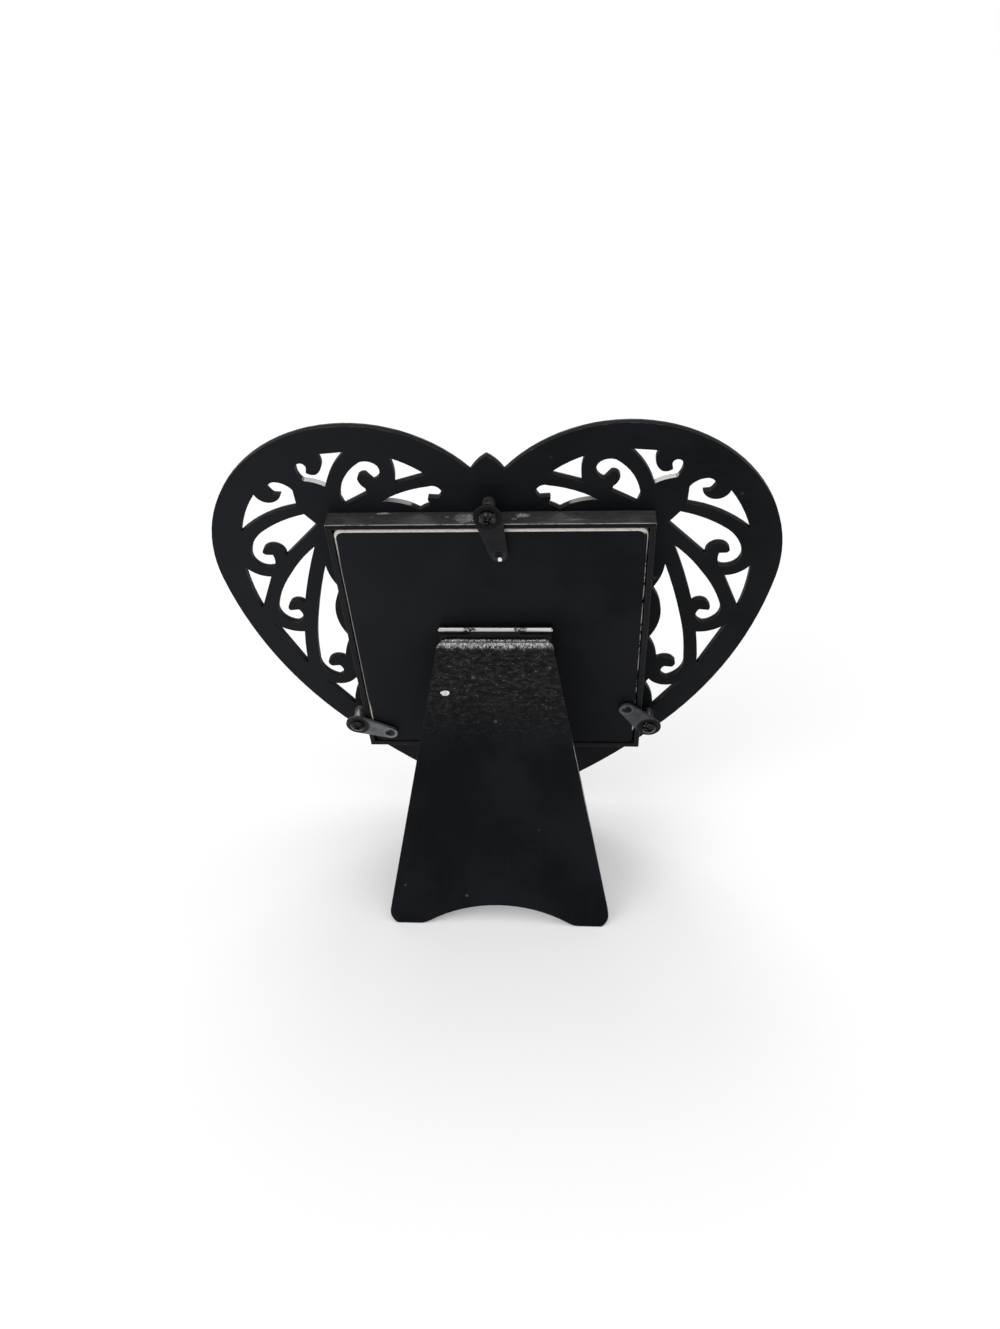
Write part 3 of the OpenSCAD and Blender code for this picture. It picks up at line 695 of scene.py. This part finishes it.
def buttonMetal(name, look):
    # Dull sheet steel with rubbed rims; the pressed dimple is painted dark in a broken ring, painted shade
    # in its hollow, with a paler painted highlight ring round it and one painted glint
    material, tree = newMaterial(name)
    coords = onBench(tree)
    x, y, _ = parts(tree, coords)
    cloud = noise(tree, coords, (5, 5, 5), 4.0, 0.6)
    fine = noise(tree, coords, (0.5, 0.5, 0.5), 3.0, 0.6)
    shade = brighter(look["tone"], buttonLook["shade"])
    tone = mixColour(tree, ramp(tree, cloud, 0.35, 0.7), look["tone"], shade)
    away = length(tree, moved(tree, coords, look["dimple"], buttonLook["deep"]))
    grit = noise(tree, coords, (1.1, 1.1, 1.1), 4.0, 0.75)
    ragged = calc(tree, "ADD", away, times(tree, calc(tree, "SUBTRACT", grit, 0.5), buttonLook["grit"]))
    core = look["core"]
    dimpleShade = ramp(tree, ragged, core + buttonLook["dimpleShadeEdge"], core - buttonLook["dimpleShadeEdge"])
    inner, outer = buttonLook["ring"]
    fromCore = ramp(tree, ragged, *(core + reach for reach in inner))
    fromOuter = ramp(tree, ragged, *(core + reach for reach in outer))
    ring = times(tree, fromCore, fromOuter, buttonLook["ringShare"])
    screwX, screwY = look["screw"]
    fromScrew = {0: calc(tree, "SUBTRACT", x, screwX), 1: calc(tree, "SUBTRACT", y, screwY)}
    headWay = length(tree, put(tree, "CombineXYZ", fromScrew).outputs[0])
    headRim = calc(tree, "ADD", headWay, times(tree, grit, buttonLook["headGrit"]))
    head = ramp(tree, headRim, *buttonLook["head"])
    factor, added = buttonLook["ringTone"]
    tone = mixColour(tree, ring, tone, [c * factor + added for c in look["tone"]])
    dark = times(tree, most(tree, dimpleShade, head), buttonLook["darkPatchShare"])
    tone = mixColour(tree, dark, tone, buttonLook["darkPatchTone"])
    glint = spot(tree, coords, look["glint"], buttonLook["glintReach"], ragged=0.5, lumps=0.7, soft=0.25)
    tone = mixColour(tree, times(tree, glint, look["glintShare"]), tone, buttonLook["glintTone"])
    finish(tree, {"Base Color": tone, "Metallic": 0.35, "Roughness": ramp(tree, cloud, 0.3, 0.7, 0.42, 0.56),
                  "Specular IOR Level": 0.12, "Normal": bumped(tree, fine, 0.25, 0.00008)})
    return material


for node, look in buttons.items():
    button = softened(node, look["body"], buttonLook["ease"])
    rimTone = brighter(look["tone"], buttonLook["rimBright"])
    rim = wornEdge(node + "Rim", onBench, buttonLook["rimShare"], rimTone)
    dress(button, buttonMetal(node + "Metal", look), rim)

posts = {
    "ease": 0.2,
    "screwEase": 0.12,
    "tones": {"top": (0.25, 0.070), "left": (0.62, 0.21), "right": (0.19, 0.052)},   # light and dark tone of each post, painted light and shade: the left post lit, the top and right ones shaded
    "markSize": (0.8, 0.8, 1.0),
    "markShare": 0.8,
    "markBright": 1.5,
    "dirtShare": 0.6,
    "dirtTone": grey(0.012),
    "scuffAndGlintTone": grey(0.38),
    "enamelTone": grey(0.003),
}


def postPlating(name, light, dark):
    # Dull plating: rolling marks, tarnish clouds, fine scratches and old dirt
    material, tree = newMaterial(name)
    coords = onBench(tree)
    marks = noise(tree, coords, posts["markSize"], 4.0, 0.65)
    cloud = noise(tree, coords, (4.5, 4.5, 4.5), 4.0, 0.6)
    fine = noise(tree, coords, (0.35, 0.35, 0.35), 2.0, 0.5)
    colour = mixColour(tree, ramp(tree, cloud, 0.35, 0.7), grey(light), grey(dark))
    marked = times(tree, ramp(tree, marks, 0.4, 0.75), posts["markShare"])
    colour = mixColour(tree, marked, colour, grey(light * posts["markBright"]))
    dirt = ramp(tree, noise(tree, coords, (1.6, 1.6, 1.6), 5.0, 0.75), 0.5, 0.68)
    colour = mixColour(tree, times(tree, dirt, posts["dirtShare"]), colour, posts["dirtTone"])
    height = calc(tree, "ADD", times(tree, marks, 0.7), times(tree, fine, 0.4))
    finish(tree, {"Base Color": colour, "Metallic": 1.0, "Roughness": scaled(tree, cloud, 0.22, 0.35),
                  "Normal": bumped(tree, height, 0.22, 0.00006)})
    return material


def screwMaterial():
    # Glossy black enamel with small bright marks: scuffs on its rims, and painted glints
    material, tree = newMaterial("screwBlack")
    coords = onBench(tree)
    grit = noise(tree, coords, (0.9, 0.9, 0.9), 4.0, 0.7)
    fine = noise(tree, coords, (2.4, 2.4, 2.4), 3.0, 0.6)
    scuffAndGlint = times(tree, ramp(tree, grit, 0.58, 0.66), ramp(tree, fine, 0.45, 0.55))
    tone = mixColour(tree, scuffAndGlint, posts["enamelTone"], posts["scuffAndGlintTone"])
    finish(tree, {"Base Color": tone, "Roughness": ramp(tree, fine, 0.3, 0.7, 0.16, 0.34),
                  "Specular IOR Level": 0.2, "Normal": bumped(tree, fine, 0.5, 0.0003)})
    return material


screwPaint = screwMaterial()
# Each post gets its own light and dark tone: painted light and shade on one plating
for side, (light, dark) in posts["tones"].items():
    post = softened("post_" + side, "frame", posts["ease"], worn=False)
    screw = softened("button_screw_" + side, "frame", posts["screwEase"], worn=False)
    dress(post, postPlating(side + "Post", light, dark))
    dress(screw, screwPaint)

hinge = {
    "ease": 0.08,
    "barrel": (1.80, 1.70),  # limits from the pin: everything further out is painted
    "litStripTurn": {"frame": 43.0, "leg": 16.0},   # turn of the bright strip along the barrel; outside it the barrel is painted dark, painted shade that keeps its highlight narrow
    "litStripHalf": 0.90,         # half the width of the bright strip
    "litStripEdge": 0.12,
    "litStripRagged": 0.7,
    "jointX": 11.5,          # the gaps between knuckles
    "grime": (3.2, 2.4),     # limits either side of a gap
    "paintGrimeAndShadeTone": grey(0.006),
    "silver": (0.60, 0.60, 0.60),
    "tarnish": (0.33, 0.33, 0.33),
}


def hingeMaterial(name, coordinates, axisY, axisZ, litStripTurn):
    # Bright rolled barrel, black grease at its joints, and leaves under the black paint; the barrel is
    # painted dark outside a narrow strip, painted shade that narrows its highlight
    material, tree = newMaterial(name)
    coords = coordinates(tree)
    x, y, z = parts(tree, coords)
    up = calc(tree, "SUBTRACT", y, axisY)
    out = calc(tree, "SUBTRACT", z, axisZ)
    away = length(tree, put(tree, "CombineXYZ", {1: up, 2: out}).outputs[0])
    grit = noise(tree, coords, (1.3, 0.8, 0.8), 5.0, 0.75)
    level = times(tree, up, math.cos(math.radians(litStripTurn)))
    fromLitStrip = calc(tree, "SUBTRACT", level, times(tree, out, math.sin(math.radians(litStripTurn))))
    rag = times(tree, calc(tree, "SUBTRACT", grit, 0.5), hinge["litStripRagged"])
    rag = calc(tree, "ADD", calc(tree, "ABSOLUTE", fromLitStrip), rag)
    between = ramp(tree, rag, hinge["litStripHalf"] + hinge["litStripEdge"], hinge["litStripHalf"] - hinge["litStripEdge"])
    barrel = times(tree, ramp(tree, away, *hinge["barrel"]), between)
    fromMiddle = calc(tree, "SUBTRACT", calc(tree, "ABSOLUTE", x), hinge["jointX"])
    joint = calc(tree, "ABSOLUTE", fromMiddle)
    grime = times(tree, ramp(tree, joint, *hinge["grime"]), ramp(tree, grit, 0.44, 0.54, 0.25, 1.0))
    spots = times(tree, ramp(tree, grit, 0.68, 0.76), 0.8)
    bright = times(tree, barrel, calc(tree, "SUBTRACT", 1.0, most(tree, grime, spots)))
    rolled = noise(tree, coords, (14, 0.5, 0.5), 4.0, 0.6)
    metal = mixColour(tree, ramp(tree, rolled, 0.35, 0.7), hinge["silver"], hinge["tarnish"])
    tone = mixColour(tree, bright, hinge["paintGrimeAndShadeTone"], metal)
    finish(tree, {"Base Color": tone, "Metallic": bright,
                  "Roughness": ramp(tree, rolled, 0.3, 0.8, 0.14, 0.3),
                  "Specular IOR Level": 0.12, "Normal": bumped(tree, grit, 0.2, 0.00006)})
    return material


_, pinY, pinZ = place["hinge"]
boardHingeMetal = hingeMaterial("hingeBoardMetal", onBench, pinY, pinZ, hinge["litStripTurn"]["frame"])
legHingeMetal = hingeMaterial("hingeLegMetal", onLeg, 0.0, 0.0, hinge["litStripTurn"]["leg"])
hingePieces = {
    "hinge_leaf_board": ("frame", boardHingeMetal), "hinge_leaf_leg": ("leg", legHingeMetal),
    "hinge_pin": ("frame", boardHingeMetal),
    "hinge_screws_board": ("frame", screwPaint), "hinge_screws_leg": ("leg", screwPaint),
}
for node, (body, metal) in hingePieces.items():
    piece = softened(node, body, hinge["ease"], worn=False)
    dress(piece, metal)
print("buttons, posts, screws and hinge done")


leg = {
    "ease": 0.35,
    "top": -5.0,             # its top edge, below the hinge pin
    "outer": 5.6,            # its outer face
    "brush": (2.5, 22, 9),
    "lumpSize": (3.4, 1.5, 2.0),
    "dashSize": (1.5, 0.42, 0.8),
    "roughPart": (-60.0, -16.0),  # limits up the leg
    "mottle": (0.0045, 0.0230),   # darkest and lightest tone of the rough part
    "mottleShare": 0.9,
    "glint": 0.30,                # tone of the light dashes, painted glints
    "glintShare": 0.75,
    "darkDash": grey(0.002),
    "darkShare": 0.8,
    "fuzz": 0.72,                 # tone of the torn top edge: raw fibres, partly a painted highlight
    "tornRim": (-3.0, -0.4),      # where it ends down the leg, before noise is added
    "tornRagged": 5.0,
    "dust": (5.0, 0.07),          # spacing and share of the dust grains
    "dustShare": 0.5,
    "dustTone": grey(0.12),
    "edgeTop": (-9.0, -5.6),      # limits of the rubbed arris at the top and at the feet
    "edgeFeet": (-133.0, -140.0),
    "feetShare": 0.5,
    "rightEdge": (30.0, 36.0),    # limits across and along of the light line on the right
    "rightFrom": (-50.0, -56.0),
    "rightTo": (-98.0, -80.0),
    "rightShare": 0.8,
}


def legPaint():
    # Rough and mottled near the hinge with short level dashes, the light ones painted glints, smooth and
    # colder below
    material, tree = newMaterial("legPaint")
    coords = onLeg(tree)
    y = parts(tree, coords)[1]
    tone, height, _ = paintLayers(tree, coords, leg["brush"])
    lumps = noise(tree, coords, leg["lumpSize"], 5.0, 0.7)
    dashes = noise(tree, coords, leg["dashSize"], 4.0, 0.68, 0.4)
    rough = ramp(tree, y, *leg["roughPart"])
    darkest, lightest = leg["mottle"]
    mottle = mixColour(tree, ramp(tree, lumps, 0.40, 0.64), grey(darkest), grey(lightest, (1.0, 1.0, 0.96)))
    tone = mixColour(tree, times(tree, rough, leg["mottleShare"]), tone, mottle)
    light = times(tree, ramp(tree, dashes, 0.57, 0.70), ramp(tree, lumps, 0.44, 0.6, 0.15, 1.0))
    tone = mixColour(tree, times(tree, light, rough, leg["glintShare"]), tone, grey(leg["glint"]))
    dark = times(tree, ramp(tree, dashes, 0.40, 0.28), rough, leg["darkShare"])
    tone = mixColour(tree, dark, tone, leg["darkDash"])
    # The torn top edge: pale raw fibres, partly a painted highlight
    fuzz = noise(tree, coords, (0.6, 1.5, 0.8), 4.0, 0.75)
    waves = noise(tree, coords, (4.5, 3.5, 3.0), 3.0, 0.6)
    rim = calc(tree, "ADD", y, times(tree, calc(tree, "ADD", fuzz, waves), leg["tornRagged"]))
    torn = times(tree, ramp(tree, rim, *leg["tornRim"]), ramp(tree, fuzz, 0.44, 0.57, 0.03, 1.0))
    tone = mixColour(tree, torn, tone, grey(leg["fuzz"]))
    dust = times(tree, specks(tree, coords, *leg["dust"]), leg["dustShare"])
    tone = mixColour(tree, dust, tone, leg["dustTone"])
    relief = times(tree, calc(tree, "ADD", lumps, dashes), rough)
    bumps = calc(tree, "ADD", times(tree, height, 0.35), relief)
    finish(tree, {"Base Color": tone, "Roughness": ramp(tree, lumps, 0.3, 0.7, 0.40, 0.55),
                  "Specular IOR Level": 0.06, "Normal": bumped(tree, bumps, 0.6, 0.0004)})
    return material


def legEdge():
    # Arrises of the leg: rubbed grey at the top and the feet, the top one also a painted highlight, thin
    # light line on the right
    material, tree = newMaterial("legEdge")
    coords = onLeg(tree)
    x, y, _ = parts(tree, coords)
    fine = noise(tree, coords, (0.8, 0.8, 0.8), 4.0, 0.7)
    lengths = noise(tree, coords, (6, 9, 4), 3.0, 0.6)
    atTop = ramp(tree, y, *leg["edgeTop"])
    atFeet = times(tree, ramp(tree, y, *leg["edgeFeet"]), leg["feetShare"])
    along = times(tree, ramp(tree, y, *leg["rightFrom"]), ramp(tree, y, *leg["rightTo"]))
    onRight = times(tree, ramp(tree, x, *leg["rightEdge"]), along, leg["rightShare"])
    broken = ramp(tree, calc(tree, "ADD", fine, lengths), 0.8, 1.1)
    worn = times(tree, most(tree, atFeet, onRight), broken)
    worn = most(tree, worn, times(tree, atTop, ramp(tree, fine, 0.38, 0.62, 0.2, 1.0)))
    tone = mixColour(tree, worn, paint["paleTone"], grey(leg["fuzz"]))
    finish(tree, {"Base Color": tone, "Roughness": 0.5, "Specular IOR Level": 0.12,
                  "Normal": bumped(tree, fine, 0.5, 0.0002)})
    return material


easel = softened("easel_leg", "leg", leg["ease"])
dress(easel, legPaint(), legEdge())


chip = {
    "centre": (-22.9, -28.6),     # middle of the white paint spot
    "reach": (2.1, 1.35),
    "lift": 0.22,                 # height of its middle
    "sunk": 0.03,                 # how far its rim goes under the paint
    "rings": 9,
    "spokes": 48,
    "hole": 0.02,                 # where its first ring lies, as a share of the way out
    "rimWaves": (0.24, 6),        # size and number
    "heightWaves": (0.18, 9),
    "dome": 0.6,                  # power that rounds its top
    "seed": 4,
    "tones": ((0.50, 0.49, 0.47), (0.90, 0.89, 0.87)),
}


def paintSpot(name, material):
    # A blob of thick paint: in polar steps its rim wanders with a few waves, and its height falls
    # as a power of one minus the square of the share of the way out, so that it meets the leg at the rim
    spokes = chip["spokes"]
    out = np.linspace(chip["hole"], 1, chip["rings"])[:, None]
    angle = np.linspace(0, 2 * np.pi, spokes, endpoint=False)[None, :]
    rimSize, rimWaves = chip["rimWaves"]
    bumpSize, bumpWaves = chip["heightWaves"]
    rim = 1 + rimSize * wobble(spokes, rimWaves, chip["seed"])[None, :]
    bumps = 1 + bumpSize * wobble(spokes, bumpWaves, chip["seed"] + 1)[None, :] * out
    x = chip["centre"][0] + chip["reach"][0] * rim * out * np.cos(angle)
    y = chip["centre"][1] + chip["reach"][1] * rim * out * np.sin(angle)
    z = leg["outer"] - chip["sunk"] + chip["lift"] * (1 - out ** 2) ** chip["dome"] * bumps
    spotPiece = gridMesh(name, fromLeg(np.stack(np.broadcast_arrays(x, y, z), axis=-1)), closeV=True)
    spotPiece.data.materials.append(material)
    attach(spotPiece, "leg")


def whitePaint():
    material, tree = newMaterial("whiteSpot")
    cloud = noise(tree, onLeg(tree), (1.4, 1.4, 1.4), 4.0, 0.7)
    tone = mixColour(tree, ramp(tree, cloud, 0.35, 0.6), *chip["tones"])
    finish(tree, {"Base Color": tone, "Roughness": 0.6, "Specular IOR Level": 0.3,
                  "Normal": bumped(tree, cloud, 0.5, 0.0002)})
    return material


paintSpot("leg.whiteSpot", whitePaint())


fibres = {
    "halfTop": 24.5,         # half the length of the torn edge
    "steps": 520,
    "ring": 8,
    "spread": (0.2, 0.6, 0.2),    # how a step shares its noise with its neighbours
    "fade": 3.0,                  # length over which a ridge dies out at its ends
    "faint": 0.05,
    "radius": (0.12, 0.45),       # least radius, and how much the noise adds
    "wide": 0.8,                  # height and depth of a ridge against its radius
    "flat": 0.9,
    "twist": 0.05,
    "rise": 0.4,                  # least share of the height that a ridge keeps
    "ridges": {   # height above the top edge, level below the outer face, seed
        "leg.tornFibresA": (1.1, 0.6, 12),
        "leg.tornFibresB": (0.8, 2.0, 13),
        "leg.tornFibresC": (-1.1, 0.12, 14),
    },
    # dark and light fibre tone; the light one is raw fibre, partly a painted highlight
    "tones": (grey(0.02), grey(0.72, (1.0, 1.0, 0.98))),
}


def tornRidge(name, height, below, seed, material):
    # Fibres torn up along the leg's top edge: a ring carried along the edge, whose radius and place
    # across change from step to step with seeded noise and die out at both ends
    rng = np.random.default_rng(seed)
    along = np.linspace(-fibres["halfTop"], fibres["halfTop"], fibres["steps"])[:, None]
    turn = np.linspace(0, 2 * np.pi, fibres["ring"], endpoint=False)[None, :]
    raw = rng.uniform(0, 1, (3, fibres["steps"]))
    tall, wide, shift = (np.convolve(row, fibres["spread"], mode="same")[:, None] for row in raw)
    fade = np.clip((fibres["halfTop"] - np.abs(along)) / fibres["fade"], fibres["faint"], 1)
    least, added = fibres["radius"]
    radius = (least + added * tall ** 2) * fade
    y = leg["top"] + height * (fibres["rise"] + shift) + radius * np.cos(turn) * (fibres["wide"] + wide)
    z = leg["outer"] - below + radius * np.sin(turn) * fibres["flat"]
    x = along + fibres["twist"] * np.cos(turn)
    ridge = gridMesh(name, fromLeg(np.stack(np.broadcast_arrays(x, y, z), axis=-1)), closeV=True)
    ridge.data.materials.append(material)
    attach(ridge, "leg")


def tornFibre():
    material, tree = newMaterial("tornFibre")
    grit = noise(tree, onLeg(tree), (0.8, 0.7, 0.7), 4.0, 0.7)
    tone = mixColour(tree, ramp(tree, grit, 0.44, 0.56), *fibres["tones"])
    finish(tree, {"Base Color": tone, "Roughness": 0.6, "Specular IOR Level": 0.2,
                  "Normal": bumped(tree, grit, 0.6, 0.0003)})
    return material


fibre = tornFibre()
for name, (height, below, seed) in fibres["ridges"].items():
    tornRidge(name, height, below, seed, fibre)
print("easel leg done")


room = {
    "floorSize": 8.0,
    "floorDrop": 0.0003,     # metres, so that the floor and the feet share no plane
    "floorTone": (0.86, 0.86, 0.86, 1.0),
    "floorGlow": 0.20,
    "white": (1.0, 1.0, 1.0, 1.0),
    "skyForLight": 0.50,
    "suns": [   # name, direction towards the light, strength, angle across in degrees
        ("softLeft", (0.75, 0.80, 0.70), 0.80, 40.0),
        ("softAbove", (-0.25, 0.15, 1.0), 0.70, 60.0),
        ("rimLight", (0.07, -0.54, 0.84), 0.50, 25.0),
    ],
}


def throughPath(tree):
    # 1 for rays that see the room itself: camera, mirror and glass rays
    path = put(tree, "LightPath").outputs
    return most(tree, path["Is Camera Ray"], path["Is Glossy Ray"], path["Is Transmission Ray"])


floorMesh = bpy.data.meshes.new("floor")
half = room["floorSize"] / 2
corners = [(-half, -half, 0), (half, -half, 0), (half, half, 0), (-half, half, 0)]
floorMesh.from_pydata(corners, [], [(0, 1, 2, 3)])
floor = bpy.data.objects.new("floor", floorMesh)
floor.location.z = -room["floorDrop"]
bpy.context.scene.collection.objects.link(floor)
floorMaterial, floorTree = newMaterial("floorWhite")
plain = put(floorTree, "BsdfDiffuse", {"Color": room["floorTone"]})
glowing = times(floorTree, throughPath(floorTree), room["floorGlow"])
glow = put(floorTree, "Emission", {"Color": room["white"], "Strength": glowing})
both = put(floorTree, "AddShader", {0: plain.outputs[0], 1: glow.outputs[0]})
put(floorTree, "OutputMaterial", {"Surface": both.outputs[0]})
floorMesh.materials.append(floorMaterial)

world = bpy.data.worlds.new("studio")
world.use_nodes = True
bpy.context.scene.world = world
sky = world.node_tree
sky.nodes.clear()
dim = put(sky, "Background", {"Color": room["white"], "Strength": room["skyForLight"]})
seen = put(sky, "Background", {"Color": room["white"], "Strength": 1.0})
chosen = put(sky, "MixShader", {0: throughPath(sky), 1: dim.outputs[0], 2: seen.outputs[0]})
put(sky, "OutputWorld", {"Surface": chosen.outputs[0]})


def aimedFrom(towards):
    # Turn that makes a lamp's own z axis point towards the light's place
    back = np.array(towards) / np.linalg.norm(towards)
    right = np.cross([0.0, 1.0, 0.0], back)
    right = right / np.linalg.norm(right)
    pose = np.eye(4)
    pose[:3, :3] = np.column_stack([right, np.cross(back, right), back])
    return Matrix(pose.tolist())


for name, towards, strength, width in room["suns"]:
    lamp = bpy.data.lights.new(name, "SUN")
    lamp.energy = strength
    lamp.angle = math.radians(width)
    holder = bpy.data.objects.new(name, lamp)
    holder.matrix_world = aimedFrom(towards)
    bpy.context.scene.collection.objects.link(holder)

photo = {
    "eye": (33.0, 316.2, 334.8),   # on the bench, millimetres
    "right": (0.9976, -0.0469, -0.0510),
    "down": (0.0031, -0.7054, 0.7088),
    "ahead": (-0.0692, -0.7072, -0.7036),
    "focal": 977.0,                # in picture rows
    "rows": 1329.0,
    "sensor": 24.0,
    "near": 0.01,                  # metres
}
camera = bpy.data.cameras.new("photoCamera")
camera.sensor_fit = "VERTICAL"
camera.sensor_height = photo["sensor"]
camera.lens = photo["sensor"] * photo["focal"] / photo["rows"]
camera.clip_start = photo["near"]
viewer = bpy.data.objects.new("photoCamera", camera)
cameraPose = np.eye(4)
cameraPose[:3, 0] = benchTurn @ np.array(photo["right"])
cameraPose[:3, 1] = -(benchTurn @ np.array(photo["down"]))
cameraPose[:3, 2] = -(benchTurn @ np.array(photo["ahead"]))
cameraPose[:3, 3] = fromBench([photo["eye"]])[0]
viewer.matrix_world = Matrix(cameraPose.tolist())
bpy.context.scene.collection.objects.link(viewer)
bpy.context.scene.camera = viewer
bpy.context.scene.view_settings.view_transform = "Standard"
print("room, lamps and camera set")
